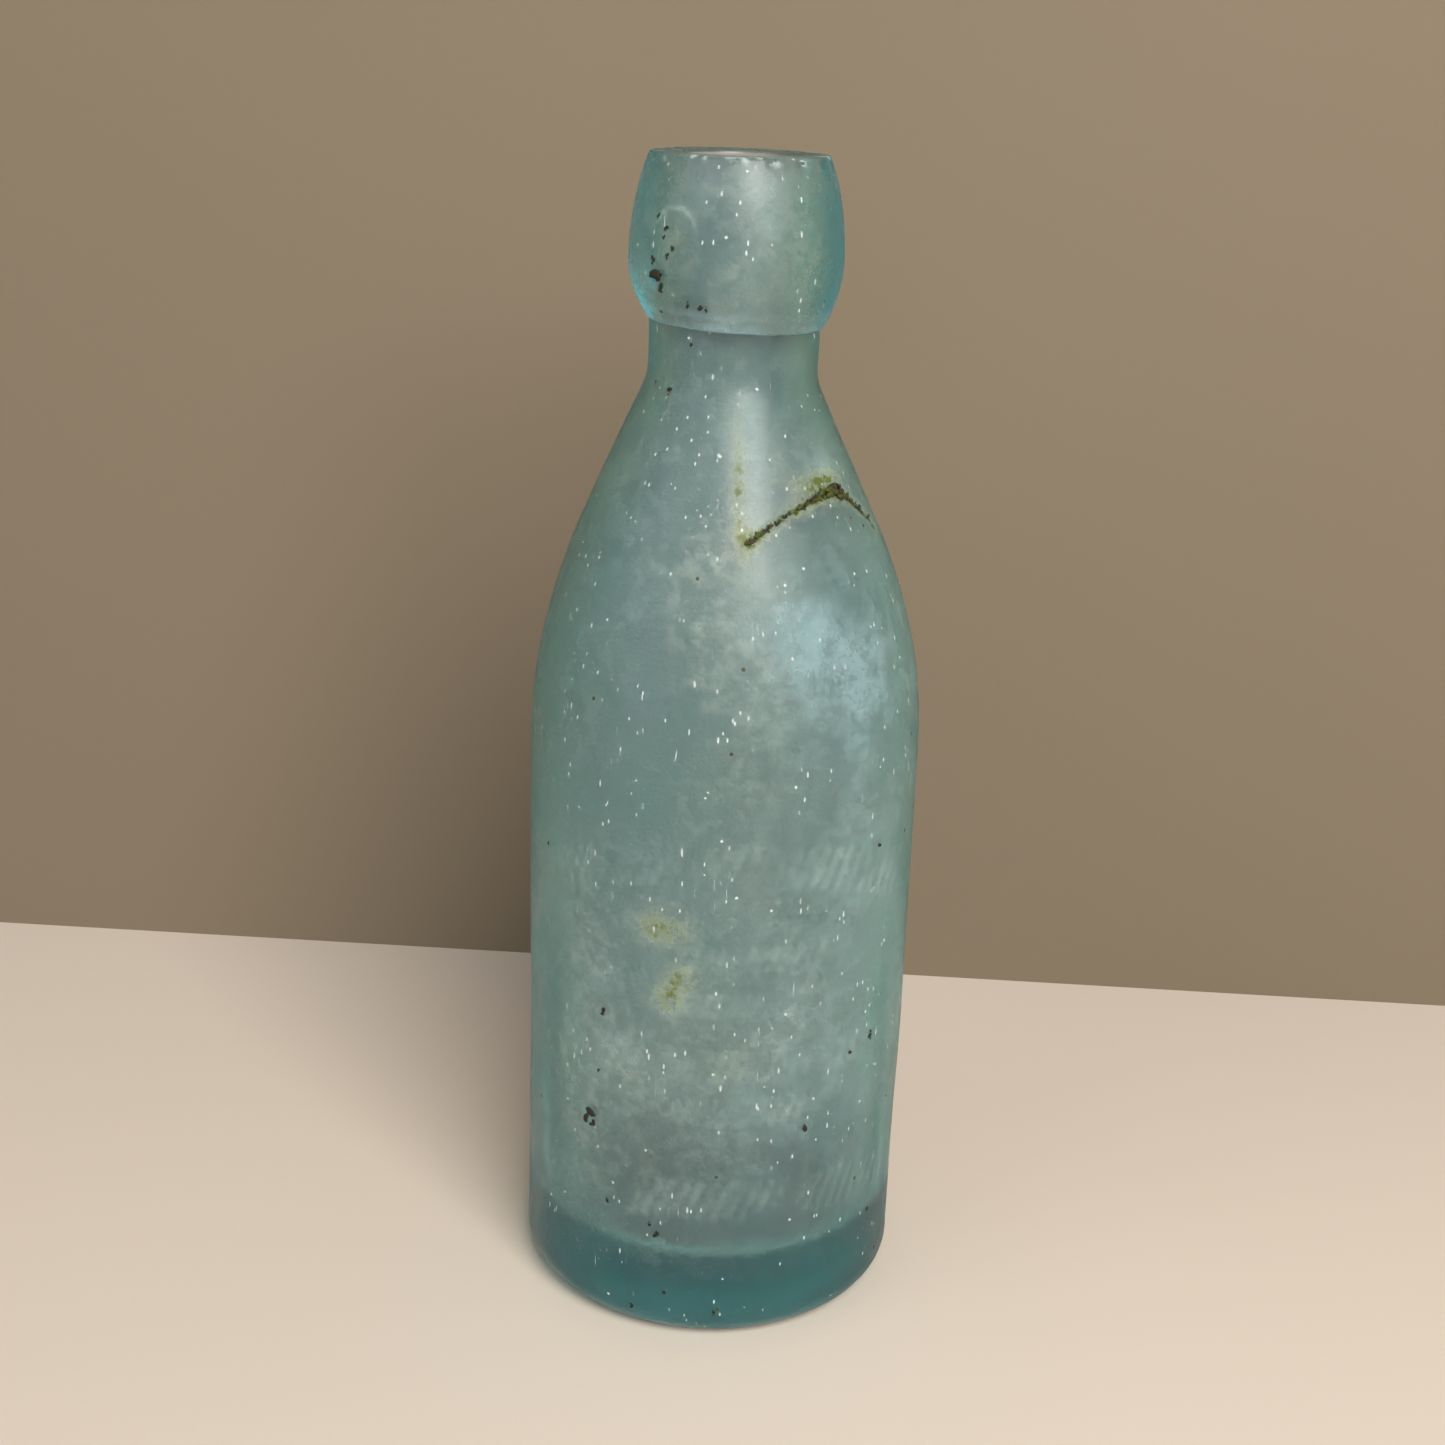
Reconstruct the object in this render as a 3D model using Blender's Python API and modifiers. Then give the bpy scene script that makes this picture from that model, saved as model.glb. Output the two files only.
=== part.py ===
"""Antique blob-top glass bottle: a mould-blown body, the lip applied over its neck, and soil in a crack.

Units are metres and +Z is up. The origin is the centre of the ring that the bottle stands on.
Angles round the bottle are measured from the front (-Y) towards +X.
"""

from math import cos, radians, sin, sqrt, tan

import bmesh
import bpy

MM = 0.001

# Driving dimensions
BOTTLE_HEIGHT = 184 * MM
BODY_RADIUS = 31.25 * MM
NECK_RADIUS = 12.9 * MM
WALL = 4.2 * MM
GAP = 0.3 * MM

# Heel, resting ring, push-up and the thick base above them
HEEL_RADIUS = 6 * MM
REST_INNER_RADIUS = 20 * MM
PUSH_UP = 4 * MM
CAVITY_FLOOR = 13 * MM
CAVITY_CORNER = 5 * MM

# Shoulder: a long arc from the straight side, a cone, and a hollow fillet into the neck
SHOULDER_START = 92 * MM
SHOULDER_ARC = 87.8 * MM
SHOULDER_SLOPE = radians(24.6)
NECK_FILLET = 8.5 * MM

# Applied lip: the sheared neck ends inside its socket
LIP_BOTTOM = 159.4 * MM
LIP_WIDEST = 169.3 * MM
LIP_RADIUS = 16.3 * MM
LIP_UPPER_ARC = 39 * MM
LIP_LOWER_ARC = 17 * MM
NECK_END = 176 * MM
RIM_ROUND = 0.7 * MM

# Crack across the right of the shoulder: angle round the bottle in degrees, height in millimetres
CRACK_COURSE = ((8, 130.6), (18, 133), (31, 135), (46, 136.4), (55, 136.2), (65, 134.2), (79, 129.6))
CRACK_WIDTH = 2 * MM
CRACK_SUNK = 0.4 * MM

STEPS_ROUND = 48

# Heights and radii that follow from the driving dimensions
BORE_RADIUS = NECK_RADIUS - WALL
CONE_START_HEIGHT = SHOULDER_START + SHOULDER_ARC * sin(SHOULDER_SLOPE)
CONE_START_RADIUS = BODY_RADIUS - SHOULDER_ARC * (1 - cos(SHOULDER_SLOPE))
NECK_START = (
    CONE_START_HEIGHT
    + (CONE_START_RADIUS - NECK_RADIUS) / tan(SHOULDER_SLOPE)
    + NECK_FILLET * tan(SHOULDER_SLOPE / 2)
)


def clear_scene():
    for old in list(bpy.data.objects):
        bpy.data.objects.remove(old, do_unlink=True)


def new_collection(name):
    collection = bpy.data.collections.new(name)
    bpy.context.scene.collection.children.link(collection)
    return collection


def glass_material(name, colour, roughness):
    material = bpy.data.materials.new(name)
    material.use_nodes = True
    shader = material.node_tree.nodes["Principled BSDF"]
    shader.inputs["Base Color"].default_value = (*colour, 1)
    shader.inputs["Roughness"].default_value = roughness
    shader.inputs["Metallic"].default_value = 0
    shader.inputs["Transmission Weight"].default_value = 0.7
    material.diffuse_color = (*colour, 1)
    return material


def soil_material():
    material = bpy.data.materials.new("crack_soil")
    material.use_nodes = True
    shader = material.node_tree.nodes["Principled BSDF"]
    shader.inputs["Base Color"].default_value = (0.09, 0.08, 0.03, 1)
    shader.inputs["Roughness"].default_value = 0.95
    shader.inputs["Metallic"].default_value = 0
    material.diffuse_color = (0.09, 0.08, 0.03, 1)
    return material


def arc(centre, radius, start, end, pieces):
    """Points (x, z) on a circle, from one angle to another in radians, both ends included."""
    points = []
    for step in range(pieces + 1):
        angle = start + (end - start) * step / pieces
        points.append((centre[0] + radius * cos(angle), centre[1] + radius * sin(angle)))
    return points


def dome(edge_radius, edge_height, rise, pieces):
    """A shallow dome from its edge to the axis, as points (x, z)."""
    sphere = (edge_radius ** 2 + rise ** 2) / (2 * rise)
    points = []
    for step in range(pieces + 1):
        x = edge_radius * (1 - step / pieces)
        points.append((x, edge_height + rise - sphere + sqrt(sphere ** 2 - x ** 2)))
    return points


def neck_to_side(inset):
    """The neck, shoulder and straight side from top to bottom, moved inwards by a wall thickness."""
    fillet_centre = (NECK_RADIUS + NECK_FILLET, NECK_START)
    shoulder_centre = (BODY_RADIUS - SHOULDER_ARC, SHOULDER_START)
    straight_down = radians(180)
    points = [(NECK_RADIUS - inset, NECK_END)]
    points += arc(fillet_centre, NECK_FILLET + inset, straight_down, straight_down + SHOULDER_SLOPE, 4)
    points += arc(shoulder_centre, SHOULDER_ARC - inset, SHOULDER_SLOPE, 0, 8)
    return points


def body_profile():
    """From the axis inside, up the cavity, over the sheared neck, down the outside and under the base."""
    inner_radius = BODY_RADIUS - WALL
    corner_centre = (inner_radius - CAVITY_CORNER, CAVITY_FLOOR + CAVITY_CORNER)
    down_outside = neck_to_side(0)
    down_outside += arc((BODY_RADIUS - HEEL_RADIUS, HEEL_RADIUS), HEEL_RADIUS, 0, radians(-90), 5)
    under_base = dome(REST_INNER_RADIUS, 0, PUSH_UP, 4)
    down_cavity = neck_to_side(WALL)
    down_cavity += arc(corner_centre, CAVITY_CORNER, 0, radians(-90), 4)
    cavity_floor = dome(inner_radius - CAVITY_CORNER, CAVITY_FLOOR, PUSH_UP, 4)[1:]
    return list(reversed(down_cavity + cavity_floor)) + down_outside + under_base


def lip_profile():
    """A closed outline: over the rim, down the rounded outside, and up the socket and the bore."""
    rim_radius = LIP_RADIUS - LIP_UPPER_ARC + sqrt(LIP_UPPER_ARC ** 2 - (BOTTLE_HEIGHT - LIP_WIDEST) ** 2)
    upper_centre = (LIP_RADIUS - LIP_UPPER_ARC, LIP_WIDEST)
    lower_centre = (LIP_RADIUS - LIP_LOWER_ARC, LIP_WIDEST)
    rim_angle = (BOTTLE_HEIGHT - RIM_ROUND - LIP_WIDEST) / LIP_UPPER_ARC
    ledge_angle = (LIP_WIDEST - LIP_BOTTOM - RIM_ROUND) / LIP_LOWER_ARC
    socket_radius = NECK_RADIUS + GAP
    points = [(BORE_RADIUS + RIM_ROUND, BOTTLE_HEIGHT)]
    points += [(rim_radius - RIM_ROUND, BOTTLE_HEIGHT)]
    points += arc(upper_centre, LIP_UPPER_ARC, rim_angle, 0, 6)
    points += arc(lower_centre, LIP_LOWER_ARC, 0, -ledge_angle, 5)[1:]
    points += [(socket_radius, LIP_BOTTOM)]
    points += [(socket_radius, NECK_END + GAP)]
    points += [(BORE_RADIUS, NECK_END + GAP)]
    points += [(BORE_RADIUS, BOTTLE_HEIGHT - RIM_ROUND)]
    return points


def turned(name, points, closed, material, collection):
    """A solid turned round the Z axis from an outline at +X."""
    mesh = bpy.data.meshes.new(name)
    outline = bmesh.new()
    corners = [outline.verts.new((x, 0, z)) for x, z in points]
    for first, second in zip(corners, corners[1:]):
        outline.edges.new((first, second))
    if closed:
        outline.edges.new((corners[-1], corners[0]))
    outline.to_mesh(mesh)
    outline.free()
    mesh.materials.append(material)
    piece = bpy.data.objects.new(name, mesh)
    collection.objects.link(piece)
    screw = piece.modifiers.new("turn", "SCREW")
    screw.axis = "Z"
    screw.angle = radians(360)
    screw.steps = STEPS_ROUND
    screw.render_steps = STEPS_ROUND
    screw.use_merge_vertices = True
    screw.merge_threshold = 0.00001
    screw.use_smooth_shade = True
    return piece


def cone_radius(height):
    """The outside radius on the straight slope of the shoulder."""
    return CONE_START_RADIUS - (height - CONE_START_HEIGHT) * tan(SHOULDER_SLOPE)


def crack_point(angle, height):
    radius = cone_radius(height * MM) - CRACK_SUNK
    return (radius * sin(radians(angle)), -radius * cos(radians(angle)), height * MM)


def crack_tube(name, radius, overrun, collection):
    """A closed tube along the crack, as a mesh; overrun lengthens it at both ends, in degrees."""
    course = list(CRACK_COURSE)
    course[0] = (course[0][0] - overrun, course[0][1])
    course[-1] = (course[-1][0] + overrun, course[-1][1])
    curve = bpy.data.curves.new(name + "_course", "CURVE")
    curve.dimensions = "3D"
    curve.bevel_depth = radius
    curve.bevel_resolution = 2
    curve.use_fill_caps = True
    curve.resolution_u = 4
    spline = curve.splines.new("BEZIER")
    spline.bezier_points.add(len(course) - 1)
    for point, place in zip(spline.bezier_points, course):
        point.co = crack_point(*place)
        point.handle_left_type = "AUTO"
        point.handle_right_type = "AUTO"
    guide = bpy.data.objects.new(name + "_course", curve)
    collection.objects.link(guide)
    bpy.context.view_layer.update()
    evaluated = guide.evaluated_get(bpy.context.evaluated_depsgraph_get())
    mesh = bpy.data.meshes.new_from_object(evaluated)
    welded = bmesh.new()
    welded.from_mesh(mesh)
    bmesh.ops.remove_doubles(welded, verts=welded.verts, dist=0.00001)
    bmesh.ops.recalc_face_normals(welded, faces=welded.faces)
    welded.to_mesh(mesh)
    welded.free()
    tube = bpy.data.objects.new(name, mesh)
    tube.matrix_world = guide.matrix_world.copy()
    collection.objects.link(tube)
    bpy.data.objects.remove(guide, do_unlink=True)
    return tube


def cut(piece, cutter):
    cutter.hide_render = True
    cutter.display_type = "WIRE"
    modifier = piece.modifiers.new("crack", "BOOLEAN")
    modifier.operation = "DIFFERENCE"
    modifier.solver = "EXACT"
    modifier.object = cutter


def make_body(parts, cutters):
    material = glass_material("blown_glass", (0.32, 0.47, 0.45), 0.45)
    body = turned("bottle_body", body_profile(), False, material, parts)
    cut(body, crack_tube("crack_groove", CRACK_WIDTH / 2, 1, cutters))
    return body


def make_lip(parts):
    material = glass_material("lip_glass", (0.35, 0.5, 0.47), 0.4)
    return turned("applied_lip", lip_profile(), True, material, parts)


def make_soil(parts):
    soil = crack_tube("crack_soil", CRACK_WIDTH / 2 - GAP, 0, parts)
    soil.data.materials.clear()
    soil.data.materials.append(soil_material())
    soil.data.shade_smooth()
    return soil


def build():
    clear_scene()
    parts = new_collection("antique_glass_bottle")
    cutters = new_collection("cutters")
    stand = bpy.data.objects.new("bottle_stand_point", None)
    parts.objects.link(stand)
    for piece in (make_body(parts, cutters), make_lip(parts), make_soil(parts)):
        piece.parent = stand


build()
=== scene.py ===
"""The looks of the antique blob-top bottle: frosted aqua glass, its weathered skin, crack, chips and soil.

Metres, +Z up, the bottle standing at the origin. Angles round the bottle are in degrees from the front
(-Y) towards +X, and heights are above the surface it stands on.
"""

import random
from math import atan2, ceil, cos, degrees, exp, hypot, radians, sin, sqrt, tan

import bmesh
import bpy
import numpy as np
from mathutils import Matrix, Vector, noise


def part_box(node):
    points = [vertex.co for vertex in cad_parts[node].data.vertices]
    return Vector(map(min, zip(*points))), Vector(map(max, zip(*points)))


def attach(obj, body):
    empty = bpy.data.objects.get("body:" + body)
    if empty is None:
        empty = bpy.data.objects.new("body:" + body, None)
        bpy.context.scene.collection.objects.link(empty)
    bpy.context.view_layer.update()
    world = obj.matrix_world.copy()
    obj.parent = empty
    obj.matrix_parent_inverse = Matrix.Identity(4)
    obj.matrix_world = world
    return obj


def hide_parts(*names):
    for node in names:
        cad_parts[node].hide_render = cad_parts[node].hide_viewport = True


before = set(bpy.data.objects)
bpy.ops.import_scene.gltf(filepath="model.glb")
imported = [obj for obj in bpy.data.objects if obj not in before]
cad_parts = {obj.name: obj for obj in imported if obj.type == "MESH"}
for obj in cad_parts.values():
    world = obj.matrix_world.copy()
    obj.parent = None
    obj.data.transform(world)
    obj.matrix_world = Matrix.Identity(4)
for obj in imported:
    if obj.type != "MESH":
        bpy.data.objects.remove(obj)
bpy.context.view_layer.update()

MM = 0.001

# ---- Dimensions: the overall ones come from the frame, the rest are the glassmaker's ----
body_low, body_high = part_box("bottle_body")
lip_low, lip_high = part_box("applied_lip")
BODY_RADIUS = (body_high[0] - body_low[0]) / 2
LIP_RADIUS = (lip_high[0] - lip_low[0]) / 2
LIP_BOTTOM = lip_low[2]
RIM = lip_high[2]

NECK_RADIUS = 12.9 * MM
WALL = 4.2 * MM
HEEL_RADIUS = 6 * MM
REST_INNER_RADIUS = 20 * MM
PUSH_UP = 4 * MM
CAVITY_FLOOR = 13 * MM
CAVITY_CORNER = 5 * MM
SHOULDER_START = 92 * MM
SHOULDER_ARC = 87.8 * MM
SHOULDER_SLOPE = radians(24.6)
NECK_FILLET = 8.5 * MM
LIP_WIDEST = 169.3 * MM
LIP_UPPER_ARC = 39 * MM
LIP_LOWER_ARC = 17 * MM
BORE_RADIUS = NECK_RADIUS - WALL
JOINT = LIP_BOTTOM - 0.05 * MM
NECK_START = (
    SHOULDER_START
    + SHOULDER_ARC * sin(SHOULDER_SLOPE)
    + (BODY_RADIUS - SHOULDER_ARC * (1 - cos(SHOULDER_SLOPE)) - NECK_RADIUS) / tan(SHOULDER_SLOPE)
    + NECK_FILLET * tan(SHOULDER_SLOPE / 2)
)

# The neck was set on a little to one side, and the ledge under the lip is tooled on a slant
LEAN = -1.0 * MM
LEAN_FROM = 95 * MM
LEAN_TO = 155 * MM
LEDGE_SLANT = 0.6 * MM

# The raised bands, the mould seams, the crack's groove, and the thicker glass low on both sides
ROPE_TILT = radians(24)
ROPE_HALF_WIDTH = 0.8 * MM
ROPE_HEIGHT = 0.30 * MM
MOULD_SEAM_WIDTH = 0.5 * MM
MOULD_SEAM_HEIGHT = 0.10 * MM
GROOVE_WIDTH = 0.42 * MM
GROOVE_DEPTH = 0.75 * MM
THICKER_SIDES = 2.2 * MM

# How far the uneven skin of each gather is set in, so that its swells stay within the size
BODY_SET_IN = 0.12 * MM
LIP_SET_IN = 0.15 * MM

# Crack across the right of the shoulder, as (angle, height in millimetres)
CRACK_COURSE = ((8, 130.6), (18, 133), (31, 135), (46, 136.4), (55, 136.2), (65, 134.2), (79, 129.6))

# Material slots of each glass piece, after the outer one
SCUFFED = 1
FUSED = 2

STEPS_ROUND = 200
RING_SPACING = 1.1 * MM
SKIN_LIFT = 0.05 * MM


# ---- The bottle's own shape ----
def smoothstep(low, high, value):
    share = min(max((value - low) / (high - low), 0), 1)
    return share * share * (3 - 2 * share)


def side_radius(height, inset=0.0):
    """Radius of the straight side, shoulder or neck, moved inwards by a wall thickness."""
    arc = SHOULDER_ARC - inset
    arc_top = SHOULDER_START + arc * sin(SHOULDER_SLOPE)
    fillet = NECK_FILLET + inset
    if height <= SHOULDER_START:
        return BODY_RADIUS - inset
    if height <= arc_top:
        return BODY_RADIUS - SHOULDER_ARC + sqrt(arc ** 2 - (height - SHOULDER_START) ** 2)
    if height >= NECK_START:
        return NECK_RADIUS - inset
    if height >= NECK_START - fillet * sin(SHOULDER_SLOPE):
        return NECK_RADIUS + NECK_FILLET - sqrt(fillet ** 2 - (NECK_START - height) ** 2)
    arc_top_radius = BODY_RADIUS - SHOULDER_ARC + arc * cos(SHOULDER_SLOPE)
    return arc_top_radius - (height - arc_top) * tan(SHOULDER_SLOPE)


def lip_radius(height):
    """Radius of the rounded outside of the lip."""
    arc = LIP_UPPER_ARC if height > LIP_WIDEST else LIP_LOWER_ARC
    return LIP_RADIUS - arc + sqrt(arc ** 2 - (height - LIP_WIDEST) ** 2)


def outside_radius(height):
    return lip_radius(height) if height > LIP_BOTTOM else side_radius(height)


def lean(height):
    return LEAN * smoothstep(LEAN_FROM, LEAN_TO, height)


def place(angle, height, lift=0.0):
    """The point on the outside of the bottle at an angle in degrees and a height in metres."""
    radius = outside_radius(height) + lift
    turn = radians(angle)
    return Vector((radius * sin(turn) + lean(height), -radius * cos(turn), height))


def arc_points(centre, radius, start, end, spacing):
    pieces = max(2, ceil(abs(radians(end - start)) * radius / spacing))
    turns = [radians(start + (end - start) * step / pieces) for step in range(pieces + 1)]
    return [(centre[0] + radius * cos(turn), centre[1] + radius * sin(turn)) for turn in turns]


def dome_points(edge_radius, edge_height, rise, spacing):
    """A shallow dome from its edge in to the axis."""
    sphere = (edge_radius ** 2 + rise ** 2) / (2 * rise)
    pieces = ceil(edge_radius / spacing)
    reach = [edge_radius * (1 - step / pieces) for step in range(pieces + 1)]
    return [(x, edge_height + rise - sphere + sqrt(sphere ** 2 - x * x)) for x in reach]


def rising_points(radius_at, low, high, spacing):
    pieces = ceil((high - low) / spacing)
    heights = [low + (high - low) * step / pieces for step in range(pieces + 1)]
    return [(radius_at(height), height) for height in heights]


def body_outline():
    """From the cavity floor's centre, up inside, over the neck end, down outside and under the base."""
    coarse = 2 * RING_SPACING
    inner_radius = BODY_RADIUS - WALL
    corner = (inner_radius - CAVITY_CORNER, CAVITY_FLOOR + CAVITY_CORNER)
    heel = (BODY_RADIUS - HEEL_RADIUS, HEEL_RADIUS)
    floor = dome_points(inner_radius - CAVITY_CORNER, CAVITY_FLOOR, PUSH_UP, coarse)
    points = floor[::-1]
    points += arc_points(corner, CAVITY_CORNER, -90, 0, RING_SPACING)[1:]
    points += rising_points(lambda z: side_radius(z, WALL), corner[1], JOINT, coarse)[1:]
    points += rising_points(side_radius, HEEL_RADIUS, JOINT, RING_SPACING)[::-1]
    points += arc_points(heel, HEEL_RADIUS, 0, -90, RING_SPACING)[1:]
    points += dome_points(REST_INNER_RADIUS, 0, PUSH_UP, coarse)
    return points


def lip_outline():
    """Once round the ring of the lip: rim, rounded outside, ledge, joint and bore."""
    spacing = RING_SPACING * 0.6
    edge = 0.7 * MM
    ledge_edge = 0.35 * MM
    outer_edge = (lip_radius(RIM - edge) - edge, RIM - edge)
    inner_edge = (BORE_RADIUS + edge, RIM - edge)
    points = arc_points(inner_edge, edge, 180, 90, edge / 3)
    rings = ceil((outer_edge[0] - inner_edge[0]) / spacing)
    reach = [inner_edge[0] + (outer_edge[0] - inner_edge[0]) * step / rings for step in range(1, rings)]
    points += [(across, RIM) for across in reach]
    points += arc_points(outer_edge, edge, 90, 15, edge / 3)
    points += rising_points(lip_radius, LIP_BOTTOM + ledge_edge, RIM - edge, spacing)[::-1]
    points += [(lip_radius(LIP_BOTTOM) - ledge_edge * 0.6, LIP_BOTTOM), (NECK_RADIUS, LIP_BOTTOM)]
    points += rising_points(lambda z: BORE_RADIUS, LIP_BOTTOM, RIM - edge, 2 * spacing)[:-1]
    return points


def spun(points, closed):
    """A bmesh turned round the Z axis from an outline at +X."""
    bm = bmesh.new()
    corners = [bm.verts.new((x, 0, z)) for x, z in points]
    pairs = list(zip(corners, corners[1:]))
    if closed:
        pairs.append((corners[-1], corners[0]))
    edges = [bm.edges.new(pair) for pair in pairs]
    bmesh.ops.spin(
        bm,
        geom=corners + edges,
        cent=(0, 0, 0),
        axis=(0, 0, 1),
        angle=radians(360),
        steps=STEPS_ROUND,
        use_merge=True,
        use_duplicate=False,
    )
    bmesh.ops.remove_doubles(bm, verts=bm.verts, dist=0.001 * MM)
    bmesh.ops.recalc_face_normals(bm, faces=bm.faces)
    return bm


def turn_of(point):
    return degrees(atan2(point.x, -point.y))


def is_outside(point):
    """True on the outer skin of the body, from the heel to the top of the neck."""
    if point.z < HEEL_RADIUS / 2:
        return True
    return hypot(point.x, point.y) > side_radius(point.z) - WALL / 2


def refine(bm, turns, heights):
    """Quarters the outer faces between two angles and two heights, where the relief is fine."""
    chosen = set()
    for face in bm.faces:
        middle = face.calc_center_median()
        if turns[0] < turn_of(middle) < turns[1] and heights[0] < middle.z < heights[1]:
            if hypot(middle.x, middle.y) > side_radius(middle.z) - WALL / 2:
                chosen.update(face.edges)
    bm.edges.index_update()
    in_order = sorted(chosen, key=lambda edge: edge.index)
    bmesh.ops.subdivide_edges(bm, edges=in_order, cuts=1, use_grid_fill=True)


# ---- Relief of the outer skin ----
def worn_strokes():
    """Rope bands: slanting dashes, all alike and evenly spaced, much worn: (angle, height, reach, wear)."""
    bands = (
        # centre height, drop at the ends, from, to, dash length, dashes
        (83.5, 6.5, -60, 64, 6.0, 30),
        (68.0, 0.0, -12, 32, 3.6, 12),
        (60.5, 0.0, -12, 32, 3.6, 12),
        (50.0, 0.0, -40, 46, 4.6, 22),
        (42.0, 0.0, -24, 28, 3.6, 14),
        (26.5, 2.5, -56, 68, 6.0, 30),
    )
    strokes = []
    for height, drop, start, end, length, count in bands:
        for step in range(count):
            share = (step + 0.5) / count
            angle = start + (end - start) * share
            arch = height - drop * (2 * share - 1) ** 2
            worn = 0.55 + 0.9 * noise.noise(Vector((step * 0.31, height, 2.0)))
            strokes.append((angle, arch * MM, length / 2 * MM, worn))
    return strokes


def stroke_relief(turns, heights, radii):
    """How far each vertex stands in a worn stroke, from 0 to 1."""
    relief = np.zeros(len(turns))
    for angle, height, reach, worn in worn_strokes():
        across = np.radians(turns - angle) * radii
        up = heights - height
        along = up * cos(ROPE_TILT) + across * sin(ROPE_TILT)
        aside = across * cos(ROPE_TILT) - up * sin(ROPE_TILT)
        away = np.hypot(aside, np.maximum(np.abs(along) - reach, 0)) / ROPE_HALF_WIDTH
        relief = np.maximum(relief, worn * np.exp(-away ** 4))
    return relief


def crack_line(pieces=90):
    """Points along the crack, on the sound surface, from its lower left tip to its right end."""
    corners = [place(angle, height * MM) for angle, height in CRACK_COURSE]
    padded = [2 * corners[0] - corners[1]] + corners + [2 * corners[-1] - corners[-2]]
    points = []
    for step in range(pieces + 1):
        span = step / pieces * (len(corners) - 1)
        first = min(int(span), len(corners) - 2)
        t = span - first
        a, b, c, d = padded[first:first + 4]
        smooth = 2 * b + (c - a) * t + (2 * a - 5 * b + 4 * c - d) * t ** 2 + (3 * b - a - 3 * c + d) * t ** 3
        jag = Vector([noise.noise(Vector((step * 0.23, 4.0 + 9 * axis, 1.0))) for axis in range(3)])
        points.append(smooth / 2 + jag * 0.45 * MM)
    return points


def distance_to(points, places):
    """Each vertex's distance to a line of points."""
    least = np.full(len(places), 1.0)
    for point in points:
        least = np.minimum(least, np.linalg.norm(places - np.array(point), axis=1))
    return least


# Shallow flakes out of the glass: (angle, height in mm, radius in mm, depth in mm)
BODY_CHIPS = (
    (-38, 37.8, 1.6, 0.35), (-34, 56.6, 1.1, 0.25), (28.5, 38, 1.2, 0.3), (44, 49, 1.0, 0.25),
    (53, 50.3, 1.0, 0.25), (-15, 19.2, 1.3, 0.3), (51.5, 83.3, 1.0, 0.25), (-31, 23, 0.9, 0.2),
    (-20, 84.4, 1.1, 0.25), (-25, 108, 0.9, 0.2), (-22, 129, 1.2, 0.2), (-44, 150.4, 0.9, 0.3),
    (150, 60, 2.2, 0.4), (-120, 96, 1.8, 0.3), (205, 20, 2.0, 0.4),
)
LIP_CHIPS = (
    (-46.6, 167.2, 1.9, 0.5), (-39, 174, 1.3, 0.25), (-35, 171, 1.1, 0.25), (-27, 163.2, 0.9, 0.2),
    (43, 183, 1.5, 0.55), (62, 182.6, 1.3, 0.5), (78, 183.4, 1.0, 0.4), (20, 183.6, 0.8, 0.3),
    (-19, 163, 0.9, 0.2), (130, 181, 2.4, 0.6), (-150, 164, 1.4, 0.3), (96, 172, 1.2, 0.2),
)


def chip_depth(chips, places):
    depth = np.zeros(len(places))
    for angle, height, radius, deep in chips:
        away = np.linalg.norm(places - np.array(place(angle, height * MM)), axis=1) / (radius * MM)
        depth = np.maximum(depth, deep * MM * np.clip(1 - away ** 2, 0, 1) ** 0.6)
    return depth


def ripple(point, size, height, seed):
    """Uneven blowing: a slow swell of the surface, with its size and height in metres."""
    return height * noise.noise(point / size + Vector((seed, seed * 2.3, seed * 0.7)))


def spot(angle, height, wide, tall, turns, heights, radii):
    """A soft patch on the surface, from 0 to 1, with its half sizes in millimetres."""
    across = (np.mod(turns - angle + 180, 360) - 180) * np.pi / 180 * radii / (wide * MM)
    up = (heights - height * MM) / (tall * MM)
    return np.exp(-(across ** 2 + up ** 2))


def lean_over(bm):
    """The last step on each piece of the bottle: the slant of the ledge, then the neck's lean."""
    for vertex in bm.verts:
        point = vertex.co
        near_ledge = 1 - smoothstep(0, 8 * MM, abs(point.z - LIP_BOTTOM))
        point.z -= LEDGE_SLANT * near_ledge * point.x / LIP_RADIUS
        point.x += lean(point.z)


def skin_layers(bm):
    """Numbers kept at each vertex for the finishes: wear with painted glints, milk with a painted highlight
    line at the ledge, stain, cavity, bloom with painted highlight and shade, and a darker cavity wall with
    painted shade down its sides.
    """
    names = ("wear_and_glint_marks", "milk_and_ledge_light", "olive_stain", "cavity", "bloom_with_painted_light", "cavity_darker_low_and_shaded_sides")
    for name in names:
        bm.verts.layers.float.new(name)
    return [bm.verts.layers.float[name] for name in names]


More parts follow.
